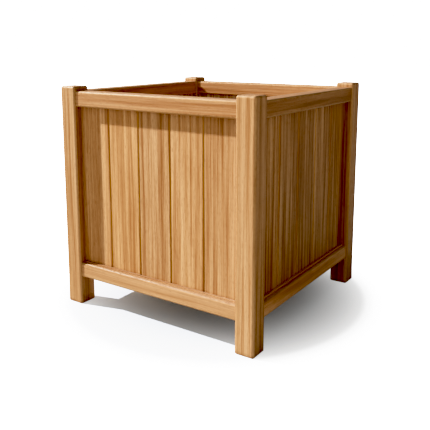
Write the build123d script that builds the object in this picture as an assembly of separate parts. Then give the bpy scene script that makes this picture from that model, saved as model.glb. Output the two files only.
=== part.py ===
"""Square wooden planter box.

Four corner posts carry top and bottom rails. Tongue-and-groove boards fill the
four sides, and a slatted floor lies on two bearers screwed to the bottom rails.

Millimetres, +Z up. The origin is on the ground at the middle of the box.
The front faces -Y and the right-hand side faces +X.
"""
import os

from build123d import *

# --- overall size -----------------------------------------------------------
box_width = 600.0  # along X, over the posts
box_depth = 600.0  # along Y, over the posts
box_height = 600.0  # ground to the top of the posts

# --- corner posts -----------------------------------------------------------
post_size = 52.0  # square section
post_arris_radius = 6.0  # rounding of the upright edges and of the top edges
post_foot_chamfer = 2.0  # keeps the end grain from splitting on the ground
post_top_rise = 12.5  # post standing above the top rails

# --- rails ------------------------------------------------------------------
top_rail_height = 41.0
bottom_rail_height = 43.0
leg_height = 78.0  # ground to the underside of the bottom rails
rail_outer_setback = 4.0  # from the outer face of the post
rail_inner_setback = 5.0  # from the inner face of the post
rail_arris_radius = 5.0
ledge_width = 11.0  # step that sheds water along the outside of a bottom rail
ledge_drop = 3.0

# --- tenons of the rails ----------------------------------------------------
tenon_shoulder = 6.0  # left above or below the tenon, on the side away from the boards
tenon_web = 2.0  # left between the tenon and the groove for the boards
mitre_gap = 0.4  # between the two tenons that meet inside a post
tenon_slip = 0.2  # above and below a tenon

# --- side boards ------------------------------------------------------------
boards_per_side = 5
board_thickness = 15.0
board_offset = 2.5  # middle of the boards, inwards from the middle of the posts
board_vee = 3.0  # chamfer on each side of a seam
seam_gap = 0.6  # room for a board to swell
tongue_thickness = 5.0
tongue_length = 6.0
tongue_slip = 0.3  # clearance all round a tongue
rail_groove_depth = 10.0
post_groove_depth = 8.0
groove_slip = 0.3  # clearance on each face of a board in its groove
board_top_gap = 0.8  # above a board, in the groove of the top rail

# --- floor ------------------------------------------------------------------
slat_count = 6
slat_thickness = 18.0
slat_gap = 8.0  # lets water out between two slats
slat_post_gap = 3.0
slat_end_gap = 0.8
slat_chamfer = 2.0
floor_drop = 1.0  # top of the slats below the top of the bottom rails
bearer_width = 30.0
bearer_rise = 4.0  # underside of a bearer above the underside of the rails
bearer_end_gap = 0.8

# --- screws -----------------------------------------------------------------
screw_diameter = 4.0
screw_head_diameter = 8.0
screw_head_height = 2.6
screw_recess = 0.5  # head below the face of the wood
screw_slip = 0.3  # clearance all round a screw
screw_tip_room = 1.0  # hole drilled past the tip
screw_tip_cover = 4.5  # wood left under the hole for a slat screw
slat_screw_edge = 18.0  # edge of a slat to its screw
bearer_screw_bite = 14.5  # length of a bearer screw in the rail
bearer_screw_count = 4  # in each bearer, each under the middle of a slat

# --- sizes that follow ------------------------------------------------------
board_recess = post_size / 2 + board_offset - board_thickness / 2  # behind the face of the posts
inner_width = box_width - 2 * post_size  # between the posts
inner_depth = box_depth - 2 * post_size
top_rail_top = box_height - post_top_rise
top_rail_bottom = top_rail_top - top_rail_height
bottom_rail_top = leg_height + bottom_rail_height
boards_bottom = bottom_rail_top - rail_groove_depth
boards_top = top_rail_bottom + rail_groove_depth - board_top_gap
floor_top = bottom_rail_top - floor_drop
slat_bottom = floor_top - slat_thickness
bearer_bottom = leg_height + bearer_rise
bearer_middle = (slat_bottom + bearer_bottom) / 2
rail_inner_x = inner_width / 2 + rail_inner_setback  # inner face of the side rails
slat_width = (inner_depth - 2 * slat_post_gap - (slat_count - 1) * slat_gap) / slat_count
slat_pitch = slat_width + slat_gap
slat_screw_depth = floor_top - bearer_bottom - screw_tip_cover - screw_tip_room
slat_screw_length = slat_screw_depth - screw_recess
bearer_screw_length = bearer_width - screw_recess + bearer_screw_bite

# side name, turn about Z, length between the posts, centre of the box to the outer face
sides = (
    ("front", 0, inner_width, box_depth / 2),
    ("right", 90, inner_depth, box_width / 2),
    ("back", 180, inner_width, box_depth / 2),
    ("left", 270, inner_depth, box_width / 2),
)


def block(x_range, y_range, z_range):
    """Box between two corners. The ends of a range may come in either order."""
    spans = [sorted(pair) for pair in (x_range, y_range, z_range)]
    size = [high - low for low, high in spans]
    corner = [low for low, high in spans]
    return Pos(*corner) * Box(*size, align=(Align.MIN, Align.MIN, Align.MIN))


def prism(points, z_range):
    """Upright prism over an outline of (x, y) points."""
    outline = make_face(Polyline(*points, close=True))
    return Pos(0, 0, z_range[0]) * extrude(outline, z_range[1] - z_range[0], dir=(0, 0, 1))


def tenon_span(rail_bottom, rail_top, groove_above):
    """Bottom and top of a rail's tenon, clear of the groove for the boards."""
    beside_groove = rail_groove_depth + tenon_web
    if groove_above:
        return rail_bottom + tenon_shoulder, rail_top - beside_groove
    return rail_bottom + beside_groove, rail_top - tenon_shoulder


bottom_tenon = tenon_span(leg_height, bottom_rail_top, True)
top_tenon = tenon_span(top_rail_bottom, top_rail_top, False)


def corner_post(x_side, y_side):
    """Post with two open mortises that meet in a corner, and a groove for each side."""
    centre_x = x_side * (box_width - post_size) / 2
    centre_y = y_side * (box_depth - post_size) / 2
    post = Pos(centre_x, centre_y, 0) * Box(
        post_size, post_size, box_height, align=(Align.CENTER, Align.CENTER, Align.MIN)
    )
    upright_edges = post.edges().filter_by(Axis.Z)
    top_edges = post.faces().sort_by(Axis.Z)[-1].edges()
    post = fillet(upright_edges + top_edges, post_arris_radius)
    post = chamfer(post.faces().sort_by(Axis.Z)[0].edges(), post_foot_chamfer)

    face_x = x_side * box_width / 2
    face_y = y_side * box_depth / 2
    inner_x = face_x - x_side * post_size
    inner_y = face_y - y_side * post_size
    cheeks_x = (face_x - x_side * board_recess, face_x - x_side * (board_recess + board_thickness))
    cheeks_y = (face_y - y_side * board_recess, face_y - y_side * (board_recess + board_thickness))
    for bottom, top in (bottom_tenon, top_tenon):
        mortise_z = (bottom - tenon_slip, top + tenon_slip)
        post -= block((inner_x, cheeks_x[0]), cheeks_y, mortise_z)
        post -= block(cheeks_x, (inner_y, cheeks_y[0]), mortise_z)

    groove_z = (boards_bottom, boards_top + board_top_gap)
    groove_x = (cheeks_x[0] + x_side * groove_slip, cheeks_x[1] - x_side * groove_slip)
    groove_y = (cheeks_y[0] + y_side * groove_slip, cheeks_y[1] - y_side * groove_slip)
    post -= block((inner_x, inner_x + x_side * post_groove_depth), groove_y, groove_z)
    post -= block(groove_x, (inner_y, inner_y + y_side * post_groove_depth), groove_z)
    return post


def rail_tenons(length, face, z_range):
    """Mitred tenons of both ends of a rail that lies along X and faces -Y."""
    cheek_out = -face + board_recess
    cheek_in = cheek_out + board_thickness
    corner = length / 2 + post_size
    tip_out = corner - board_recess - mitre_gap
    tip_in = tip_out - board_thickness
    tenons = []
    for end in (-1, 1):
        outline = (
            (end * length / 2, cheek_out),
            (end * tip_out, cheek_out),
            (end * tip_in, cheek_in),
            (end * length / 2, cheek_in),
        )
        tenons.append(prism(outline, z_range))
    return tenons


def board_groove(length, face, z_range):
    """Groove along a rail for the ends of the boards."""
    outer = -face + board_recess - groove_slip
    inner = -face + board_recess + board_thickness + groove_slip
    return block((-length / 2, length / 2), (outer, inner), z_range)


def top_rail(length, face):
    outer = -face + rail_outer_setback
    inner = -face + post_size - rail_inner_setback
    rail = block((-length / 2, length / 2), (outer, inner), (top_rail_bottom, top_rail_top))
    rail = fillet(rail.edges().filter_by(Axis.X), rail_arris_radius)
    for tenon in rail_tenons(length, face, top_tenon):
        rail += tenon
    return rail - board_groove(length, face, (top_rail_bottom, top_rail_bottom + rail_groove_depth))


def bottom_rail(length, face):
    outer = -face + rail_outer_setback
    inner = -face + post_size - rail_inner_setback
    rail = block((-length / 2, length / 2), (outer, inner), (leg_height, bottom_rail_top))
    ledge = bottom_rail_top - ledge_drop
    rail -= block((-length / 2, length / 2), (outer, outer + ledge_width), (ledge, bottom_rail_top))
    long_edges = rail.edges().filter_by(Axis.X)
    outer_edges = long_edges.group_by(Axis.Y)[0]
    inner_edges = long_edges.group_by(Axis.Y)[-1]
    rail = fillet(outer_edges + inner_edges, rail_arris_radius)
    for tenon in rail_tenons(length, face, bottom_tenon):
        rail += tenon
    return rail - board_groove(length, face, (boards_bottom, bottom_rail_top))


def side_board(length, face, number):
    """Board of a side. Its tongue points to +X and its groove opens to -X."""
    cover = length / boards_per_side
    left = -length / 2 + number * cover + seam_gap / 2
    right = left + cover - seam_gap
    out = -face + board_recess
    back = out + board_thickness
    middle = out + board_thickness / 2
    half_tongue = tongue_thickness / 2
    housed = post_groove_depth - groove_slip

    if number == 0:
        post_edge = -length / 2 - housed
        left_edge = [(post_edge, back), (post_edge, out)]
    else:
        slot = left + tongue_length - seam_gap + tongue_slip
        half_slot = half_tongue + tongue_slip
        left_edge = [
            (left, back),
            (left, middle + half_slot),
            (slot, middle + half_slot),
            (slot, middle - half_slot),
            (left, middle - half_slot),
            (left, out + board_vee),
            (left + board_vee, out),
        ]
    if number == boards_per_side - 1:
        post_edge = length / 2 + housed
        right_edge = [(post_edge, out), (post_edge, back)]
    else:
        right_edge = [
            (right - board_vee, out),
            (right, out + board_vee),
            (right, middle - half_tongue),
            (right + tongue_length, middle - half_tongue),
            (right + tongue_length, middle + half_tongue),
            (right, middle + half_tongue),
            (right, back),
        ]
    return prism(left_edge + right_edge, (boards_bottom, boards_top))


def screw(length):
    """Countersunk screw along -Z, with the top of its head at the origin."""
    head = Cone(
        screw_diameter / 2,
        screw_head_diameter / 2,
        screw_head_height,
        align=(Align.CENTER, Align.CENTER, Align.MAX),
    )
    shank = Cylinder(screw_diameter / 2, length, align=(Align.CENTER, Align.CENTER, Align.MAX))
    return head + shank


def screw_hole(length):
    """Room for a screw, with the face of the wood at the origin."""
    mouth_radius = screw_head_diameter / 2 + screw_slip
    shank_radius = screw_diameter / 2 + screw_slip
    seat = screw_recess + screw_head_height
    mouth = Cylinder(mouth_radius, screw_recess, align=(Align.CENTER, Align.CENTER, Align.MAX))
    sink = Pos(0, 0, -screw_recess) * Cone(
        shank_radius,
        mouth_radius,
        screw_head_height,
        align=(Align.CENTER, Align.CENTER, Align.MAX),
    )
    bore = Pos(0, 0, -seat) * Cylinder(
        shank_radius,
        screw_recess + length + screw_tip_room - seat,
        align=(Align.CENTER, Align.CENTER, Align.MAX),
    )
    return mouth + sink + bore


def slat_middle(number):
    """Y of the middle of a floor slat."""
    return (number - (slat_count - 1) / 2) * slat_pitch


bearer_middle_x = rail_inner_x - bearer_width / 2
slat_screw_y = slat_width / 2 - slat_screw_edge
# places of the screws: one looks down on a slat, the other out through a bearer
slat_screw_places = [
    Pos(x_side * bearer_middle_x, slat_middle(number) + y_side * slat_screw_y, floor_top)
    for number in range(slat_count)
    for x_side in (-1, 1)
    for y_side in (-1, 1)
]
bearer_screw_slats = [
    round(number * (slat_count - 1) / (bearer_screw_count - 1)) for number in range(bearer_screw_count)
]
bearer_screw_places = [
    Pos(x_side * (rail_inner_x - bearer_width), slat_middle(number), bearer_middle) * Rot(0, -90 * x_side, 0)
    for x_side in (-1, 1)
    for number in bearer_screw_slats
]


def drilled(part, places, length):
    """Part with the screw holes that reach into it."""
    for place in places:
        part -= place * screw_hole(length)
    return part


def floor_slat(number):
    half_length = rail_inner_x - slat_end_gap
    middle = slat_middle(number)
    slat = block(
        (-half_length, half_length),
        (middle - slat_width / 2, middle + slat_width / 2),
        (slat_bottom, floor_top),
    )
    slat = chamfer(slat.faces().sort_by(Axis.Z)[-1].edges(), slat_chamfer)
    first = number * 4
    return drilled(slat, slat_screw_places[first : first + 4], slat_screw_length)


def floor_bearer(x_side):
    half_length = inner_depth / 2 - bearer_end_gap
    bearer = block(
        (x_side * rail_inner_x, x_side * (rail_inner_x - bearer_width)),
        (-half_length, half_length),
        (bearer_bottom, slat_bottom),
    )
    above = [place for place in slat_screw_places if place.position.X * x_side > 0]
    across = [place for place in bearer_screw_places if place.position.X * x_side > 0]
    bearer = drilled(bearer, above, slat_screw_length)
    return drilled(bearer, across, bearer_screw_length)


def seated_screws(places, length):
    """Every screw of a kind, as one group of separate solids."""
    return Compound(children=[place * Pos(0, 0, -screw_recess) * screw(length) for place in places])


def save(part, name):
    export_step(part, os.path.join("parts", name + ".step"))
    print(name, len(part.solids()), "solid(s)")


os.makedirs("parts", exist_ok=True)

for y_side, y_name in ((-1, "front"), (1, "back")):
    for x_side, x_name in ((-1, "left"), (1, "right")):
        save(corner_post(x_side, y_side), "corner_post_" + y_name + "_" + x_name)

for side, turn, length, face in sides:
    place = Rot(0, 0, turn)
    save(place * top_rail(length, face), "top_rail_" + side)
    lower = place * bottom_rail(length, face)
    if side in ("left", "right"):
        x_side = 1 if side == "right" else -1
        across = [place for place in bearer_screw_places if place.position.X * x_side > 0]
        lower = drilled(lower, across, bearer_screw_length)
    save(lower, "bottom_rail_" + side)
    for number in range(boards_per_side):
        turned = Rot(0, 0, turn) * side_board(length, face, number)
        save(turned, "side_board_" + side + "_" + str(number + 1))

for number in range(slat_count):
    save(floor_slat(number), "floor_slat_" + str(number + 1))

save(floor_bearer(-1), "floor_bearer_left")
save(floor_bearer(1), "floor_bearer_right")
save(seated_screws(slat_screw_places, slat_screw_length), "slat_screws")
save(seated_screws(bearer_screw_places, bearer_screw_length), "bearer_screws")
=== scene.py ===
# %% [markdown]
# # A wooden planter box
#
# The shape is already made: every post, rail, board, slat and screw comes in as its own
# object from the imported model, in metres, standing on the ground at the origin. What is
# left is everything that makes it look like wood: the grain, the seams, the rubbed edges,
# the light and the floor. This lesson builds those one at a time.

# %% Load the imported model
import math
import random

import bpy
from mathutils import Euler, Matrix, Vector


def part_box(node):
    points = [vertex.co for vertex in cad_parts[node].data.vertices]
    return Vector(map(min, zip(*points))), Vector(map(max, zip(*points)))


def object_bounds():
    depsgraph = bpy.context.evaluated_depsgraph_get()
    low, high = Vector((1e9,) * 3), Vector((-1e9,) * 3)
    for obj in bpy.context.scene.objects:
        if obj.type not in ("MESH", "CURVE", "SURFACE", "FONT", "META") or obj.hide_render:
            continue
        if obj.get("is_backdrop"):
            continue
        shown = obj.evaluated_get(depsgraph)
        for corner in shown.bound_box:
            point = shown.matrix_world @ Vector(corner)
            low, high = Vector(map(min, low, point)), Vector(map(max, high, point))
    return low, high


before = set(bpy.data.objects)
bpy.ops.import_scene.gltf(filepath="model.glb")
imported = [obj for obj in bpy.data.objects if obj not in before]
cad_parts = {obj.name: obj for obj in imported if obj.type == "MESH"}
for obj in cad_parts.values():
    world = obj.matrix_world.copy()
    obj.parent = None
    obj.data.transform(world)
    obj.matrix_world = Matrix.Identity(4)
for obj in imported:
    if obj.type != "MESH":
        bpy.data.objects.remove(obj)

cad_low, cad_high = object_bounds()
print("box from", tuple(round(v, 4) for v in cad_low), "to", tuple(round(v, 4) for v in cad_high))
print(len(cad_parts), "pieces")

# %% [markdown]
# ## The camera
#
# A product shot of a box is taken from a little above its rim, turned so that one side is
# broad and the next is narrow. The upright edges stay nearly parallel when the camera looks
# only slightly down and the lens is shifted instead of tilted further, which is what an
# architectural photographer does. The camera is placed by an angle round the box, an angle
# above the floor and a distance from a target, because those are easier to think about than
# coordinates.

# %% Camera
CAMERA_TURN = 33.98
CAMERA_RISE = 9.69
CAMERA_DISTANCE = 1.7406
CAMERA_TARGET = Vector((-0.0069, 0.0, 0.4126))
SENSOR_WIDTH = 36
LENS = 51.33
LENS_SHIFT = -0.151


def away(turn, rise):
    """Direction from the box towards a point seen at these two angles, in degrees."""
    turn, rise = math.radians(turn), math.radians(rise)
    return Vector((math.sin(turn) * math.cos(rise), -math.cos(turn) * math.cos(rise), math.sin(rise)))


def aim(thing, direction):
    """Turn a camera or a light so that it looks along a direction."""
    thing.rotation_mode = "QUATERNION"
    thing.rotation_quaternion = direction.to_track_quat("-Z", "Y")


camera = bpy.data.objects.new("camera", bpy.data.cameras.new("camera"))
bpy.context.scene.collection.objects.link(camera)
camera.location = CAMERA_TARGET + away(CAMERA_TURN, CAMERA_RISE) * CAMERA_DISTANCE
aim(camera, -away(CAMERA_TURN, CAMERA_RISE))
camera.data.sensor_width = SENSOR_WIDTH
camera.data.lens = LENS
camera.data.shift_y = LENS_SHIFT
bpy.context.scene.camera = camera
print("camera at", tuple(round(v, 3) for v in camera.location))

# %% [markdown]
# ## Small helpers for nodes
#
# The surroundings and the materials are built from many small maths and noise nodes. A few
# short functions keep that readable: each makes one node, connects what it is given, and
# hands back its result.

# %% Helpers for sums
def connect(tree, value, socket):
    """Put a number, a colour or another node's result into a socket."""
    if isinstance(value, bpy.types.NodeSocket):
        tree.links.new(value, socket)
    else:
        socket.default_value = value


def calc(tree, operation, a, b=0.0, c=0.0, clamp=False):
    """One sum with numbers."""
    node = tree.nodes.new("ShaderNodeMath")
    node.operation = operation
    node.use_clamp = clamp
    for value, socket in zip((a, b, c), node.inputs):
        connect(tree, value, socket)
    return node.outputs[0]


def vector_calc(tree, operation, a, b=(0, 0, 0)):
    """One sum with vectors."""
    node = tree.nodes.new("ShaderNodeVectorMath")
    node.operation = operation
    connect(tree, a, node.inputs[0])
    connect(tree, b, node.inputs[1])
    return node.outputs["Value"] if operation in ("LENGTH", "DOT_PRODUCT") else node.outputs["Vector"]


def split(tree, vector):
    """The three numbers in a vector."""
    node = tree.nodes.new("ShaderNodeSeparateXYZ")
    connect(tree, vector, node.inputs[0])
    return node.outputs[0], node.outputs[1], node.outputs[2]


def join(tree, x, y, z):
    """One vector from three numbers."""
    node = tree.nodes.new("ShaderNodeCombineXYZ")
    for value, socket in zip((x, y, z), node.inputs):
        connect(tree, value, socket)
    return node.outputs[0]


print("helpers for sums ready")

# %% [markdown]
# Noise makes soft random patches, and its middle value is a half. A ramp turns a value into
# a mask that goes from none to full, and a mix lays one colour over another.

# %% Helpers for patches and colours
HALF = 0.5


def noise(tree, place, detail=2.0, roughness=0.5):
    """Soft random patches, one to each unit of place."""
    node = tree.nodes.new("ShaderNodeTexNoise")
    connect(tree, place, node.inputs["Vector"])
    node.inputs["Scale"].default_value = 1.0
    node.inputs["Detail"].default_value = detail
    node.inputs["Roughness"].default_value = roughness
    return node.outputs["Fac"]


def ramp(tree, value, start, end, low=0.0, high=1.0, smooth=True):
    """Go from low to high while the value goes from start to end."""
    node = tree.nodes.new("ShaderNodeMapRange")
    node.interpolation_type = "SMOOTHSTEP" if smooth else "LINEAR"
    for number, socket in zip((value, start, end, low, high), node.inputs):
        connect(tree, number, socket)
    return node.outputs[0]


def swing(tree, place, reach, detail=2.0, roughness=0.5):
    """Noise that goes from -1 to 1 within this reach of its middle value."""
    grey = noise(tree, place, detail, roughness)
    return ramp(tree, grey, HALF - reach, HALF + reach, -1.0, 1.0, smooth=False)


def mix_color(tree, amount, a, b, how="MIX"):
    """Lay colour b over colour a."""
    node = tree.nodes.new("ShaderNodeMix")
    node.data_type = "RGBA"
    node.blend_type = how
    node.clamp_factor = True
    connect(tree, amount, node.inputs["Factor"])
    connect(tree, a, node.inputs[6])
    connect(tree, b, node.inputs[7])
    return node.outputs[2]


print("helpers for patches and colours ready")

# %% [markdown]
# An effect that several materials share is built once, as a node group, and each material
# places it with its own values.

# %% Helpers for groups
def new_group(name, inputs, outputs):
    """Empty node group. Inputs are (name, kind, default) and outputs (name, kind)."""
    tree = bpy.data.node_groups.new(name, "ShaderNodeTree")
    for label, kind, default in inputs:
        socket = tree.interface.new_socket(name=label, in_out="INPUT", socket_type="NodeSocket" + kind)
        if default is not None:
            socket.default_value = default
    for label, kind in outputs:
        tree.interface.new_socket(name=label, in_out="OUTPUT", socket_type="NodeSocket" + kind)
    return tree, tree.nodes.new("NodeGroupInput").outputs, tree.nodes.new("NodeGroupOutput").inputs


def use_group(tree, group, **values):
    """Place a group in a tree. An underscore in a name stands for a space."""
    node = tree.nodes.new("ShaderNodeGroup")
    node.node_tree = group
    for label, value in values.items():
        connect(tree, value, node.inputs[label.replace("_", " ")])
    return node.outputs


print("helpers for groups ready")

# %% [markdown]
# ## The light
#
# One lamp far to the left and slightly in front stands in for the studio's key light. It
# skims the front, so that every step in the joinery throws a short shadow, and leaves the
# right-hand side in shade. A sun lamp with a small disc gives parallel shadows with a soft
# rim.

# %% Key light
KEY_TRAVELS = Vector((1.34, 0.365, -1.0)).normalized()
KEY_STRENGTH = 10.7
KEY_DISC = math.radians(1.6)

key = bpy.data.objects.new("key_light", bpy.data.lights.new("key_light", "SUN"))
bpy.context.scene.collection.objects.link(key)
key.data.energy = KEY_STRENGTH
key.data.angle = KEY_DISC
aim(key, KEY_TRAVELS)
print("key light travels along", tuple(round(v, 2) for v in KEY_TRAVELS))

# %% [markdown]
# The rest comes from the world, which acts as the walls and ceiling of the studio. It is
# dim and slightly warm, and brighter overhead, in front and on the lamp's side. Where the
# camera looks straight at it, it is plain white.

# %% White surroundings
SURROUND_STRENGTH = 0.50
SURROUND_LEAN = (-0.72, -0.62, 0.3)
SURROUND_TINT = (1.0, 0.968, 0.86, 1)
BACKDROP_WHITE = 4.0
PLAIN_WHITE = (1, 1, 1, 1)


def glow(tree, color, strength):
    """Light that comes from far away on every side."""
    node = tree.nodes.new("ShaderNodeBackground")
    connect(tree, color, node.inputs["Color"])
    connect(tree, strength, node.inputs["Strength"])
    return node.outputs[0]


surround = bpy.data.worlds.new("studio")
surround.use_nodes = True
bpy.context.scene.world = surround
sky = surround.node_tree
sky.nodes.clear()
direction = sky.nodes.new("ShaderNodeTexCoord").outputs["Generated"]
lean = vector_calc(sky, "DOT_PRODUCT", direction, SURROUND_LEAN)
lean = calc(sky, "MULTIPLY_ADD", lean, SURROUND_STRENGTH, SURROUND_STRENGTH)
seen = sky.nodes.new("ShaderNodeLightPath").outputs["Is Camera Ray"]
choose = sky.nodes.new("ShaderNodeMixShader")
connect(sky, seen, choose.inputs["Fac"])
connect(sky, glow(sky, SURROUND_TINT, lean), choose.inputs[1])
connect(sky, glow(sky, PLAIN_WHITE, BACKDROP_WHITE), choose.inputs[2])
connect(sky, choose.outputs[0], sky.nodes.new("ShaderNodeOutputWorld").inputs["Surface"])
print("surroundings:", len(sky.nodes), "nodes")

# %% [markdown]
# Colours are shown nearly as they are, without a film look. Whatever is darker than the
# black point becomes black, and a black point a little above zero gives shaded wood the deep
# warm tone that oiled timber has under a strong lamp. Above a middle brightness the scale
# bends over, so that a side in full light keeps its grain and only the studio goes to pure
# white.

# %% How light becomes colour
BLACK_POINT = 0.045
SHOULDER = ((0.0, 0.0), (0.6, 0.6), (1.0, 0.84), (2.0, 0.965), (4.0, 1.0))
ALL_COLORS = 3

view = bpy.context.scene.view_settings
view.view_transform = "Standard"
view.look = "None"
view.use_curve_mapping = True
scale = view.curve_mapping
scale.black_level = (BLACK_POINT, BLACK_POINT, BLACK_POINT)
scale.use_clip = False
scale.clip_max_x = SHOULDER[-1][0]
curve = scale.curves[ALL_COLORS]
curve.points[0].location = SHOULDER[0]
curve.points[-1].location = SHOULDER[-1]
for bend in SHOULDER[1:-1]:
    curve.points.new(*bend)
for point in curve.points:
    point.handle_type = "AUTO_CLAMPED"
scale.update()
print("scale bends at", SHOULDER[1][0])

# %% [markdown]
# ## Straight-grained timber
#
# Wood is a stack of growth rings round the heart of a tree. A board sawn with the rings
# standing across it shows them as straight, fine stripes, and its end shows them as arcs.
# A picture wrapped round a board can't do both, so the grain is made as a solid: the
# distance from the heart picks the ring, and noise that is stretched far along the trunk
# makes the ring wander, fade and come back. Broad bands, each several rings wide, lie over
# that. A value named PATCHES says how many patches there are to a metre, first across the
# grain and then along it.

# %% Node group: straight grain, the rings
WANDER = 0.009
WANDER_PATCHES = (3.0, 1.6)
RING_REACH = 0.15
RING_CHANGES = 1.7
BAND_PATCHES = (62.0, 0.8)
BAND_REACH = 0.16
BAND_ROW = 5.0

grain_group, given, result = new_group(
    "straight grain",
    [
        ("Place", "Vector", None),
        ("Pale", "Color", (0.6, 0.4, 0.2, 1)),
        ("Body", "Color", (0.5, 0.3, 0.12, 1)),
        ("Dark", "Color", (0.3, 0.14, 0.05, 1)),
        ("Ring Width", "Float", 0.006),
        ("Stripes", "Float", 1.0),
        ("Flecks", "Float", 0.5),
        ("Fibres", "Float", 0.5),
        ("End", "Float", 0.0),
    ],
    [("Color", "Color"), ("Roughness", "Float"), ("Height", "Float")],
)
g = grain_group
x, y, along = split(g, given["Place"])


def stretched(tree, x, y, z, patches):
    """Coordinates for noise that is drawn out along Z."""
    across, drawn = patches
    x, y = calc(tree, "MULTIPLY", x, across), calc(tree, "MULTIPLY", y, across)
    return join(tree, x, y, calc(tree, "MULTIPLY", z, drawn))


wander = noise(g, stretched(g, x, y, along, WANDER_PATCHES), detail=1.0)
wander = calc(g, "MULTIPLY", calc(g, "SUBTRACT", wander, HALF), WANDER)
from_heart = calc(g, "SQRT", calc(g, "ADD", calc(g, "MULTIPLY", x, x), calc(g, "MULTIPLY", y, y)))
from_heart = calc(g, "ADD", from_heart, wander)


def in_rings(patches, row):
    """Coordinates for noise that stays the same round a ring. Each noise has its own row."""
    across, drawn = patches
    return join(g, calc(g, "MULTIPLY", from_heart, across), row, calc(g, "MULTIPLY", along, drawn))


ring_number = calc(g, "DIVIDE", from_heart, given["Ring Width"])
ring_place = join(g, ring_number, 0.0, calc(g, "MULTIPLY", along, RING_CHANGES))
rings = swing(g, ring_place, RING_REACH, detail=3.0, roughness=0.72)
bands = swing(g, in_rings(BAND_PATCHES, BAND_ROW), BAND_REACH, detail=1.0)
print("rings and bands:", len(g.nodes), "nodes")

# %% [markdown]
# Three finer noises lie over the rings: short flecks, which follow the rings too, fibres, and
# pores, which are the cut ends of the tree's vessels. Only the peaks of the pore noise count,
# so most of the wood has none.

# %% Straight grain, the fine marks
FLECK_PATCHES = (420.0, 22.0)
FLECK_ROW = 9.0
FIBRE_PATCHES = (900.0, 16.0)
FINE_REACH = 0.2
PORE_PATCHES = (1400.0, 75.0)
PORE_PEAKS = (0.63, 0.72)

flecks = swing(g, in_rings(FLECK_PATCHES, FLECK_ROW), FINE_REACH, roughness=0.6)
fibres = swing(g, stretched(g, x, y, along, FIBRE_PATCHES), FINE_REACH)
pores = ramp(g, noise(g, stretched(g, x, y, along, PORE_PATCHES), detail=0.0), *PORE_PEAKS)
print("with the fine marks:", len(g.nodes), "nodes")

# %% [markdown]
# All of them add up to one tone. Where it is above zero the wood goes from its body colour
# to its pale one, and where it is below to its dark one. Pores and end grain are darker
# again.

# %% Straight grain, the colour
BAND_STRENGTH = 0.5
TONE_CONTRAST = 0.75
PORE_STAIN = 0.45
END_STAIN = 0.5

tone = calc(g, "MULTIPLY", rings, given["Stripes"])
tone = calc(g, "MULTIPLY_ADD", bands, BAND_STRENGTH, tone)
tone = calc(g, "ADD", tone, calc(g, "MULTIPLY", flecks, given["Flecks"]))
tone = calc(g, "ADD", tone, calc(g, "MULTIPLY", fibres, given["Fibres"]))
lighter = calc(g, "MULTIPLY", tone, TONE_CONTRAST, clamp=True)
darker = calc(g, "MULTIPLY", tone, -TONE_CONTRAST, clamp=True)
color = mix_color(g, lighter, given["Body"], given["Pale"])
color = mix_color(g, darker, color, given["Dark"])
color = mix_color(g, calc(g, "MULTIPLY", pores, PORE_STAIN), color, given["Dark"])
end_color = mix_color(g, END_STAIN, color, given["Dark"])
connect(g, mix_color(g, given["End"], color, end_color), result["Color"])
print("with the colour:", len(g.nodes), "nodes")

# %% [markdown]
# The dense, dark part of a ring takes a little more polish than the rest, while pores and
# end grain stay dull. Fibres and rings stand up slightly, and the pores are dents.

# %% Straight grain, the polish and the relief
PLAIN_ROUGHNESS = 0.5
DARK_ROUGHNESS = -0.1
PORE_ROUGHNESS = 0.2
END_ROUGHNESS = 0.18
FIBRE_HEIGHT = 0.25
RING_HEIGHT = 0.3
PORE_DEPTH = 1.2

rough = calc(g, "MULTIPLY_ADD", darker, DARK_ROUGHNESS, PLAIN_ROUGHNESS)
rough = calc(g, "ADD", rough, calc(g, "MULTIPLY", pores, PORE_ROUGHNESS))
rough = calc(g, "ADD", rough, calc(g, "MULTIPLY", given["End"], END_ROUGHNESS))
connect(g, rough, result["Roughness"])
height = calc(g, "MULTIPLY_ADD", fibres, FIBRE_HEIGHT, calc(g, "MULTIPLY", rings, RING_HEIGHT))
connect(g, calc(g, "SUBTRACT", height, calc(g, "MULTIPLY", pores, PORE_DEPTH)), result["Height"])
print("straight grain:", len(g.nodes), "nodes")

# %% [markdown]
# The end of a stick drinks more oil than its sides, so it is darker and duller. A face is an
# end where it looks along the grain, and the surface direction says so.

# %% Node group: end grain
END_FACING = (0.72, 0.93)


def facing(tree):
    """The direction in which the surface looks."""
    return tree.nodes.new("ShaderNodeNewGeometry").outputs["Normal"]


end_group, given, result = new_group("end grain", [("Along", "Vector", (0, 0, 1))], [("End", "Float")])
g = end_group
lengthways = calc(g, "ABSOLUTE", vector_calc(g, "DOT_PRODUCT", facing(g), given["Along"]))
connect(g, ramp(g, lengthways, *END_FACING), result["End"])
print("end grain:", len(g.nodes), "nodes")

# %% [markdown]
# ## Rubbed edges with a painted highlight
#
# Sandpaper, hands and weather take the colour off an outer corner first. The paler line is also
# a painted highlight: it stands in for the light that the rounded corners catch from the lamp
# and the floor. The corner of a squared timber is where two of its faces meet, so a point is
# near one when its distance to the second-nearest face is small. That needs only the lowest
# and highest corners of the piece, and noise frays the line so that it doesn't look drawn.

# %% Node group: rubbed edge with sheen
FRAY_PATCHES = (140, 140, 140)
FRAY = 1.5
EDGE_FADES = (1.0, 0.25)

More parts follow.
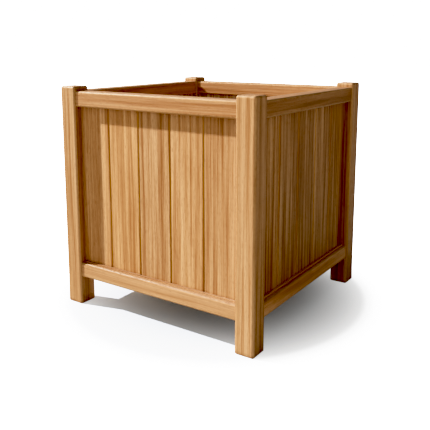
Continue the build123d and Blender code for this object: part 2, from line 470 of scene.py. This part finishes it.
rubbed_sheen_edge_group, given, result = new_group(
    "rubbed edge with sheen",
    [
        ("Place", "Vector", None),
        ("Low", "Vector", (0, 0, 0)),
        ("High", "Vector", (1, 1, 1)),
        ("Width", "Float", 0.006),
    ],
    [("Wear And Sheen", "Float")],
)
g = rubbed_sheen_edge_group
from_low = vector_calc(g, "SUBTRACT", given["Place"], given["Low"])
from_high = vector_calc(g, "SUBTRACT", given["High"], given["Place"])
a, b, c = split(g, vector_calc(g, "MINIMUM", from_low, from_high))
lower = calc(g, "MINIMUM", a, b)
upper = calc(g, "MAXIMUM", a, b)
second = calc(g, "MAXIMUM", lower, calc(g, "MINIMUM", upper, c))
fray = noise(g, vector_calc(g, "MULTIPLY", given["Place"], FRAY_PATCHES), detail=3.0, roughness=0.6)
fray = calc(g, "MULTIPLY", calc(g, "SUBTRACT", fray, HALF), FRAY)
reach = calc(g, "ADD", calc(g, "DIVIDE", second, given["Width"]), fray)
connect(g, ramp(g, reach, *EDGE_FADES), result["Wear And Sheen"])
print("rubbed edge with sheen:", len(g.nodes), "nodes")

# %% [markdown]
# ## Seams, painted light on the insides, and damp and shaded feet
#
# Each pair of boards meets in a shallow V. Its own shade makes it a dark line. The oil that
# gathers in it turns the line a deep gold, and that gold is paler than the V's shade would
# leave it, painted light that softens the line. The mask grows with the depth below the outer
# face of the boards.

# %% Node group: seam
SEAM_DEPTH = 0.002
SEAM_FADES = (0.15, 1.0)

seam_group, given, result = new_group(
    "seam",
    [("Place", "Vector", None), ("Outward", "Vector", (0, -1, 0)), ("Face", "Float", 0.3)],
    [("Seam", "Float")],
)
g = seam_group
below = calc(g, "SUBTRACT", given["Face"], vector_calc(g, "DOT_PRODUCT", given["Place"], given["Outward"]))
connect(g, ramp(g, calc(g, "DIVIDE", below, SEAM_DEPTH), *SEAM_FADES), result["Seam"])
print("seam:", len(g.nodes), "nodes")

# %% [markdown]
# Oil is brushed on the outside only, so the inside of a board is bare. It is painted much
# paler and less golden, which is painted light that lifts the shade inside the box, and the
# light that bounces about in the box stays brown instead of turning red. A face is an inside
# one where it looks away from the outward direction.

# %% Node group: painted inside light
INSIDE_FACING = (-0.3, -0.8)

inside_light_group, given, result = new_group(
    "bare inside", [("Outward", "Vector", (0, -1, 0))], [("Inside", "Float")]
)
g = inside_light_group
outwards = vector_calc(g, "DOT_PRODUCT", facing(g), given["Outward"])
connect(g, ramp(g, outwards, *INSIDE_FACING), result["Inside"])
print("bare inside:", len(g.nodes), "nodes")

# %% [markdown]
# Water stands on the rail at the foot of a board, and on the ground at the foot of a post.
# It leaves a dark, ragged mark just above that level. The same mark is also painted shade
# where the board meets the rail and the post meets the ground.

# %% Node group: damp and shaded foot
FOOT_MARK_PATCHES = (70.0, 25.0)
FOOT_MARK_RAGGED = 1.3

damp_and_shade_group, given, result = new_group(
    "damp foot",
    [("Place", "Vector", None), ("Level", "Float", 0.0), ("Reach", "Float", 0.02)],
    [("Damp And Shade", "Float")],
)
g = damp_and_shade_group
x, y, z = split(g, given["Place"])
ragged = noise(g, stretched(g, x, y, z, FOOT_MARK_PATCHES))
above = calc(g, "DIVIDE", calc(g, "SUBTRACT", z, given["Level"]), given["Reach"])
above = calc(g, "ADD", above, calc(g, "MULTIPLY", calc(g, "SUBTRACT", ragged, HALF), FOOT_MARK_RAGGED))
connect(g, ramp(g, above, 1.0, 0.0), result["Damp And Shade"])
print("damp foot:", len(g.nodes), "nodes")

# %% [markdown]
# ## Painted shade on the faces that the lamp lights hardest
#
# The key lamp lights whatever looks up, such as the tops of the posts and rails, and whatever
# looks left, towards the lamp, far more strongly than the front. Those faces are painted darker
# and greyer, a painted shade that holds back the lamp's glare. The surface direction finds
# both, and noise keeps them uneven. The mask later multiplies the colour instead of covering
# it, so that the grain still shows.

# %% Node group: painted shade on lamp faces
LOOKS_UP = (0.1, 0.75)
LOOKS_LEFT = (-0.1, -0.7)
LAMP_SHADE_PATCHES = (60, 60, 60)
LAMP_SHADE_UNEVEN = (0.3, 0.7, 0.85, 1.0)

lamp_face_shade_group, given, result = new_group(
    "painted lamp face shade", [("Place", "Vector", None)], [("Lamp Face Shade", "Float")]
)
g = lamp_face_shade_group
sideways, _, up = split(g, facing(g))
lit_hardest = calc(g, "MAXIMUM", ramp(g, up, *LOOKS_UP), ramp(g, sideways, *LOOKS_LEFT))
uneven = noise(g, vector_calc(g, "MULTIPLY", given["Place"], LAMP_SHADE_PATCHES), detail=3.0, roughness=0.6)
connect(g, calc(g, "MULTIPLY", lit_hardest, ramp(g, uneven, *LAMP_SHADE_UNEVEN)), result["Lamp Face Shade"])
print("painted lamp face shade:", len(g.nodes), "nodes")

# %% [markdown]
# ## The timber of each piece
#
# No two boards come from the same place in the tree. Each piece gets its own material from
# the same recipe: a different place in the trunk, a slightly different tone, and the grain
# turned to run along the piece. The heart of the tree is put well outside the piece, on the
# side that makes the stripes stand straight on the faces that show.

# %% Helpers for a material
ALONG = {"x": Vector((1, 0, 0)), "y": Vector((0, 1, 0)), "z": Vector((0, 0, 1))}
TURN = {"x": Euler((0, -math.pi / 2, 0)), "y": Euler((math.pi / 2, 0, 0)), "z": Euler((0, 0, 0))}
WARM_RED = 0.4


def shade(color, tone, warm):
    """A colour made lighter or darker, and warmer or cooler."""
    red, green, blue = color
    return (red * tone * (1 + WARM_RED * warm), green * tone, blue * tone * (1 - warm), 1)


def new_material(name):
    """A material, its tree, its surface and the place of each point in the box."""
    material = bpy.data.materials.new(name)
    material.use_nodes = True
    tree = material.node_tree
    place = tree.nodes.new("ShaderNodeTexCoord").outputs["Object"]
    return material, tree, tree.nodes["Principled BSDF"], place


def in_the_trunk(tree, place, grain, middle, heart, height):
    """Turn a piece's grain upright, with the tree's heart this far from its middle."""
    middle = TURN[grain].to_matrix() @ middle
    node = tree.nodes.new("ShaderNodeMapping")
    node.inputs["Rotation"].default_value = TURN[grain]
    node.inputs["Location"].default_value = Vector((*heart, height)) - Vector((middle.x, middle.y, 0))
    connect(tree, place, node.inputs["Vector"])
    return node.outputs[0]


def dent(tree, surface, height, strength, depth):
    """Let a relief catch the light, though the surface stays flat."""
    node = tree.nodes.new("ShaderNodeBump")
    node.inputs["Strength"].default_value = strength
    node.inputs["Distance"].default_value = depth
    connect(tree, height, node.inputs["Height"])
    connect(tree, node.outputs[0], surface.inputs["Normal"])


def dress(name, material):
    """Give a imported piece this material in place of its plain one."""
    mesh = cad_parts[name].data
    mesh.materials.clear()
    mesh.materials.append(material)


print("helpers for a material ready")

# %% [markdown]
# The recipe lays its colours on in the order in which the real marks reach wood, with the
# painted light and shade laid on alongside them: the grain, then the rubbed edges with their
# painted highlight, the oil in the seams with its painted light, the painted light on the
# insides, the damp mark with its painted shade, and over everything the painted shade on the
# faces that the lamp lights hardest.

# %% Timber recipe
# Paler edge colour: wear, and a painted highlight on the rounded corners.
RUBBED_AND_SHEEN = (0.60, 0.37, 0.185, 1)
# Dark foot colour: a damp mark, and painted shade where the parts meet.
GRIME_AND_SHADE = (0.16, 0.06, 0.014, 1)
# Seam colour: oil, and painted light that softens the shade in the V.
SEAM_OIL_AND_LIGHT = (0.62, 0.30, 0.05, 1)
SEAM_STRENGTH = 0.6
# Painted light: multiplies the inside faces paler and less golden.
INSIDE_LIGHTENING = (1.22, 1.52, 1.95, 1)
# Painted shade: multiplies the faces that look up or towards the lamp darker and greyer.
LAMP_FACE_SHADE = (0.57, 0.60, 0.70, 1)
WOOD_GLOSS = 0.20
WOOD_RELIEF = 0.5
WOOD_DEPTH = 0.00035
TRUNK_HEIGHTS = (1, 9)
TONE_LUCK = (0.97, 1.03)


def timber(name, grain, heart, colors, look, tone=1.0, warm=0.0, rub_and_sheen=None, seam=None, damp_and_shade=None):
    """Material for one piece of timber.

    grain is the axis that the grain runs along, heart is where the middle of the tree lies,
    and look is what the straight grain group is given. rub_and_sheen is a strength and a width
    for the rubbed edges, which are partly wear and partly a painted highlight. seam is the
    outward direction and how far out the face of the boards is; it also lays on the seam
    colour, partly painted light, and the painted light on the inside faces. damp_and_shade is
    a level, a reach above it and a strength for the damp mark, which is partly painted shade.
    tone makes a piece lighter or darker; for some pieces that is painted light or shade.
    """
    low, high = (Vector(corner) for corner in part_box(name))
    luck = random.Random(name)
    material, tree, surface, place = new_material(name + "_timber")
    trunk = in_the_trunk(tree, place, grain, (low + high) / 2, heart, luck.uniform(*TRUNK_HEIGHTS))
    end = use_group(tree, end_group, Along=ALONG[grain])["End"]
    pale, body, dark = (shade(color, tone * luck.uniform(*TONE_LUCK), warm) for color in colors)
    wood = use_group(tree, grain_group, Place=trunk, Pale=pale, Body=body, Dark=dark, End=end, **look)
    color = wood["Color"]
    # Paler rubbed edges: partly wear, partly a painted highlight on the rounded corners.
    if rub_and_sheen:
        strength, width = rub_and_sheen
        wear_and_sheen = use_group(tree, rubbed_sheen_edge_group, Place=place, Low=low, High=high, Width=width)["Wear And Sheen"]
        color = mix_color(tree, calc(tree, "MULTIPLY", wear_and_sheen, strength), color, RUBBED_AND_SHEEN)
    if seam:
        outward, face = seam
        inside = use_group(tree, inside_light_group, Outward=outward)["Inside"]
        outside = calc(tree, "MULTIPLY_ADD", inside, -SEAM_STRENGTH, SEAM_STRENGTH)
        oil_and_light = use_group(tree, seam_group, Place=place, Outward=outward, Face=face)["Seam"]
        # Seam colour: oil, and painted light in the shaded V.
        color = mix_color(tree, calc(tree, "MULTIPLY", oil_and_light, outside), color, SEAM_OIL_AND_LIGHT)
        # Painted light: the inside faces are made paler and less golden.
        color = mix_color(tree, inside, color, INSIDE_LIGHTENING, how="MULTIPLY")
    if damp_and_shade:
        level, reach, strength = damp_and_shade
        # Damp mark and painted shade at the foot of a post or a board.
        damp_and_shade_mask = use_group(tree, damp_and_shade_group, Place=place, Level=level, Reach=reach)["Damp And Shade"]
        color = mix_color(tree, calc(tree, "MULTIPLY", damp_and_shade_mask, strength), color, GRIME_AND_SHADE)
    # Painted shade: faces that look up or left, towards the key lamp, are darkened and greyed.
    lamp_face_shade = use_group(tree, lamp_face_shade_group, Place=place)["Lamp Face Shade"]
    color = mix_color(tree, lamp_face_shade, color, LAMP_FACE_SHADE, how="MULTIPLY")
    connect(tree, color, surface.inputs["Base Color"])
    connect(tree, wood["Roughness"], surface.inputs["Roughness"])
    surface.inputs["Specular IOR Level"].default_value = WOOD_GLOSS
    dent(tree, surface, wood["Height"], WOOD_RELIEF, WOOD_DEPTH)
    dress(name, material)


print("timber recipe ready")

# %% [markdown]
# ## Posts
#
# The posts are pale and planed smooth, with soft stripes on both faces that show, so the
# heart of the tree lies off one corner. Their corners are slightly rubbed, with a painted
# highlight, and the last centimetre above the ground is darker: a damp mark, and painted shade
# where the post meets the floor.

# %% Posts
POST_COLORS = ((0.56, 0.330, 0.184), (0.455, 0.245, 0.123), (0.32, 0.150, 0.060))
POST_TONES = {"front_left": 0.96, "front_right": 1.02, "back_left": 0.95, "back_right": 0.96}
POST_LOOK = dict(Ring_Width=0.007, Stripes=1.35, Flecks=0.15, Fibres=0.35)
POST_RUB_AND_SHEEN = (0.35, 0.006)
POST_DAMP_AND_SHADE = (0.0, 0.012, 0.5)


def off_centre(luck, least, most):
    """A distance to one side or the other."""
    return luck.choice((-1, 1)) * luck.uniform(least, most)


for corner, tone in POST_TONES.items():
    luck = random.Random("post " + corner)
    heart = (off_centre(luck, 0.16, 0.24), off_centre(luck, 0.16, 0.24))
    timber("corner_post_" + corner, "z", heart, POST_COLORS, POST_LOOK,
           tone=tone, rub_and_sheen=POST_RUB_AND_SHEEN, damp_and_shade=POST_DAMP_AND_SHADE)
print(len(POST_TONES), "posts")

# %% [markdown]
# ## Rails
#
# The rails lie flat, so their grain does too. Water runs along them and hands lift by them,
# so their rounded edges are the most rubbed, all the way along, and carry the strongest
# painted highlight.

# %% Rails
RAIL_COLORS = {
    "top": ((0.51, 0.281, 0.149), (0.40, 0.197, 0.092), (0.28, 0.120, 0.044)),
    "bottom": ((0.55, 0.324, 0.182), (0.460, 0.249, 0.129), (0.34, 0.163, 0.070)),
}
# Painted light and shade: the top rail on the shaded right is darker; the bottom rail there and the left
# top rail, whose inside face is shaded, are lighter.
RAIL_LIGHT_AND_SHADE = {"top_rail_right": 0.92, "bottom_rail_right": 1.38, "top_rail_left": 1.12}
RAIL_LOOK = dict(Ring_Width=0.006, Stripes=1.15, Flecks=0.12, Fibres=0.35)
RAIL_RUB_AND_SHEEN = (0.45, 0.007)
SIDES = {"front": "x", "right": "y", "back": "x", "left": "y"}
for level, colors in RAIL_COLORS.items():
    for side, grain in SIDES.items():
        name = level + "_rail_" + side
        luck = random.Random("rail " + name)
        heart = (off_centre(luck, 0.2, 0.3), off_centre(luck, 0.08, 0.16))
        timber(name, grain, heart, colors, RAIL_LOOK, tone=RAIL_LIGHT_AND_SHADE.get(name, 1.0), rub_and_sheen=RAIL_RUB_AND_SHEEN)
print(len(RAIL_COLORS) * len(SIDES), "rails")

# %% [markdown]
# ## Side boards
#
# The boards are the liveliest wood in the box: golden, with clear stripes and faint flecks,
# and each a different tone from its neighbour. The first board, beside the front left post,
# is lighter still, painted light in the shadow that the post casts on it, and the boards of
# the shaded right side are darker, painted shade. The stripes are clearest on the shaded
# right side. The heart is far off to one side of each board, so the rings cross its face as
# straight lines.

# %% Boards
BOARD_COLORS = ((0.60, 0.352, 0.190), (0.435, 0.225, 0.105), (0.27, 0.114, 0.040))
# Tone of each board; the first is lighter, painted light in the front left post's shadow.
BOARD_TONES_AND_LIGHT = (1.10, 1.05, 0.97, 1.02, 0.99)
# Painted shade: the boards of the shaded right side are darker.
SIDE_SHADE = {"front": 1.0, "right": 0.94, "back": 1.0, "left": 1.0}
SIDE_STRIPES = {"front": 0.95, "right": 1.5, "back": 1.2, "left": 1.1}
OUTWARD = {"front": -ALONG["y"], "right": ALONG["x"], "back": ALONG["y"], "left": -ALONG["x"]}
BOARD_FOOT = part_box("bottom_rail_front")[1][2]
BOARD_DAMP_AND_SHADE = (BOARD_FOOT, 0.006, 0.22)
for side, across in SIDES.items():
    outward = OUTWARD[side]
    face = max(Vector(corner).dot(outward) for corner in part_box("side_board_" + side + "_2"))
    for number, tone in enumerate(BOARD_TONES_AND_LIGHT, start=1):
        name = "side_board_" + side + "_" + str(number)
        luck = random.Random("board " + name)
        far, near = off_centre(luck, 0.3, 0.5), luck.uniform(-0.06, 0.06)
        heart = (far, near) if across == "x" else (near, far)
        warm = luck.uniform(-0.05, 0.05)
        ring_width = luck.uniform(0.008, 0.012)
        look = dict(Ring_Width=ring_width, Stripes=SIDE_STRIPES[side], Flecks=0.15, Fibres=0.35)
        timber(name, "z", heart, BOARD_COLORS, look,
               tone=tone * SIDE_SHADE[side], warm=warm, seam=(outward, face), damp_and_shade=BOARD_DAMP_AND_SHADE)
print(len(SIDES) * len(BOARD_TONES_AND_LIGHT), "boards")

# %% [markdown]
# ## Floor slats and bearers
#
# The slats and the bearers under them are never oiled, so their wood stays pale and dull,
# with more fibre than stripe, and their edges are a little paler still, with a painted
# highlight. Their colours are also made paler than that, painted light that lifts the shaded
# floor inside the box.

# %% Slats and bearers
# Pale bare wood, made paler still: painted light for the shaded floor of the box.
FLOOR_COLORS = ((0.68, 0.53, 0.37), (0.58, 0.43, 0.285), (0.42, 0.29, 0.18))
FLOOR_LOOK = dict(Ring_Width=0.007, Stripes=0.8, Flecks=0.3, Fibres=0.6)
FLOOR_RUB_AND_SHEEN = (0.4, 0.004)
floor_pieces = [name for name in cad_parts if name.startswith("floor_")]
for name in floor_pieces:
    luck = random.Random("floor " + name)
    grain = "x" if "slat" in name else "y"
    heart = (luck.uniform(-0.07, 0.07), off_centre(luck, 0.25, 0.4))
    timber(name, grain, heart, FLOOR_COLORS, FLOOR_LOOK, tone=luck.uniform(0.92, 1.06), rub_and_sheen=FLOOR_RUB_AND_SHEEN)
print(len(floor_pieces), "floor pieces")

# %% [markdown]
# ## Screws
#
# Stainless screws, countersunk into the slats and the bearers. Turned metal is never evenly
# bright: it has dull patches, and tool marks too fine to see one by one, which break up its
# reflections. Broad noise makes the patches, and fine noise in the roughness with a faint
# relief makes the marks.

# %% Node group: turned steel
MARK_PATCHES = (2200, 2200, 2200)
DULL_PATCHES = (300, 300, 300)
DULL_FADES = (0.35, 0.65)
STEEL_ROUGHNESS = (0.3, 0.7, 0.28, 0.5)

steel_group, given, result = new_group(
    "turned steel",
    [
        ("Place", "Vector", None),
        ("Bright", "Color", (0.66, 0.65, 0.63, 1)),
        ("Dull", "Color", (0.42, 0.41, 0.39, 1)),
    ],
    [("Color", "Color"), ("Roughness", "Float"), ("Height", "Float")],
)
g = steel_group
marks = noise(g, vector_calc(g, "MULTIPLY", given["Place"], MARK_PATCHES), detail=3.0, roughness=0.6)
dull = noise(g, vector_calc(g, "MULTIPLY", given["Place"], DULL_PATCHES))
connect(g, mix_color(g, ramp(g, dull, *DULL_FADES), given["Bright"], given["Dull"]), result["Color"])
connect(g, ramp(g, marks, *STEEL_ROUGHNESS, smooth=False), result["Roughness"])
connect(g, marks, result["Height"])
print("turned steel:", len(g.nodes), "nodes")

# %% [markdown]
# All the screws come out of one packet, so they share one material.

# %% Screws
STEEL_RELIEF = 0.3
STEEL_DEPTH = 0.0001
steel, tree, surface, place = new_material("screw_steel")
turned = use_group(tree, steel_group, Place=place)
connect(tree, turned["Color"], surface.inputs["Base Color"])
connect(tree, turned["Roughness"], surface.inputs["Roughness"])
surface.inputs["Metallic"].default_value = 1.0
dent(tree, surface, turned["Height"], STEEL_RELIEF, STEEL_DEPTH)
screws = [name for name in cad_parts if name.endswith("_screws")]
for name in screws:
    dress(name, steel)
print("steel on", ", ".join(screws))

# %% [markdown]
# ## The studio floor
#
# A sheet of white board under the box. Its shade is real: the box blocks the lamp, and the
# closer a spot is to the underside the darker it is. Printed product pictures let that shade
# melt into plain white, so a white veil is laid over the sheet. The veil is light that the
# sheet gives off, so the soft fade of the shade round the box is painted light. It is thin at
# the middle, grows with the fourth power of the distance, which leaves the shade under the box
# alone, and ends in full white, so the edge of the sheet never shows. Only the camera sees the
# veil: the light that the floor throws back on the wood is that of the plain sheet. One round
# spot under the box, beside the front left foot, throws back more, as if a photographer had
# laid a white card there to fill the shade on the foot.

# %% Studio floor
SHEET_SIZE = 30.0
FLOOR_SEEN = (0.435, 0.462, 0.515, 1)
FLOOR_BOUNCE = (0.28, 0.275, 0.26, 1)
CARD_BOUNCE = (0.90, 0.88, 0.83, 1)
CARD_MIDDLE = (-0.20, -0.15, 0.0)
CARD_RIM = (0.15, 0.10)
VEIL_LEAST = 0.03
VEIL_GROWTH = 22.7
VEIL_POWER = 4.0
VEIL_RIM = (0.41, 0.50)
VEIL_RIM_WHITE = 3.4

half = SHEET_SIZE / 2
sheet = bpy.data.meshes.new("studio_floor")
corners = [(-half, -half, 0), (half, -half, 0), (half, half, 0), (-half, half, 0)]
sheet.from_pydata(corners, [], [(0, 1, 2, 3)])
floor = bpy.data.objects.new("studio_floor", sheet)
bpy.context.scene.collection.objects.link(floor)
floor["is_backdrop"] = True

white = bpy.data.materials.new("studio_white")
white.use_nodes = True
sheet.materials.append(white)
tree = white.node_tree
tree.nodes.clear()
spot = tree.nodes.new("ShaderNodeTexCoord").outputs["Object"]
seen = tree.nodes.new("ShaderNodeLightPath").outputs["Is Camera Ray"]

from_card = vector_calc(tree, "LENGTH", vector_calc(tree, "SUBTRACT", spot, CARD_MIDDLE))
bounce = mix_color(tree, ramp(tree, from_card, *CARD_RIM), FLOOR_BOUNCE, CARD_BOUNCE)
board = tree.nodes.new("ShaderNodeBsdfDiffuse")
connect(tree, mix_color(tree, seen, bounce, FLOOR_SEEN), board.inputs["Color"])

# Painted light: the veil glows for the camera and sets where the shade round the box fades.
out = vector_calc(tree, "LENGTH", spot)
veil = calc(tree, "MULTIPLY_ADD", calc(tree, "POWER", out, VEIL_POWER), VEIL_GROWTH, VEIL_LEAST)
veil = calc(tree, "ADD", veil, ramp(tree, out, *VEIL_RIM, 0.0, VEIL_RIM_WHITE))
veil = calc(tree, "MINIMUM", veil, BACKDROP_WHITE)
veil_light = tree.nodes.new("ShaderNodeEmission")
connect(tree, calc(tree, "MULTIPLY", veil, seen), veil_light.inputs["Strength"])

layers = tree.nodes.new("ShaderNodeAddShader")
connect(tree, board.outputs[0], layers.inputs[0])
connect(tree, veil_light.outputs[0], layers.inputs[1])
connect(tree, layers.outputs[0], tree.nodes.new("ShaderNodeOutputMaterial").inputs["Surface"])
print("studio floor:", len(tree.nodes), "nodes")

# %% [markdown]
# ## Finish
#
# The looks must not change the size of the box, so its bounds are measured before and
# after and compared.

# %% Check the size
SAME = 1e-6
new_low, new_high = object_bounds()
changes = [abs(a - b) for a, b in zip((*cad_low, *cad_high), (*new_low, *new_high))]
print("size kept:", max(changes) < SAME)
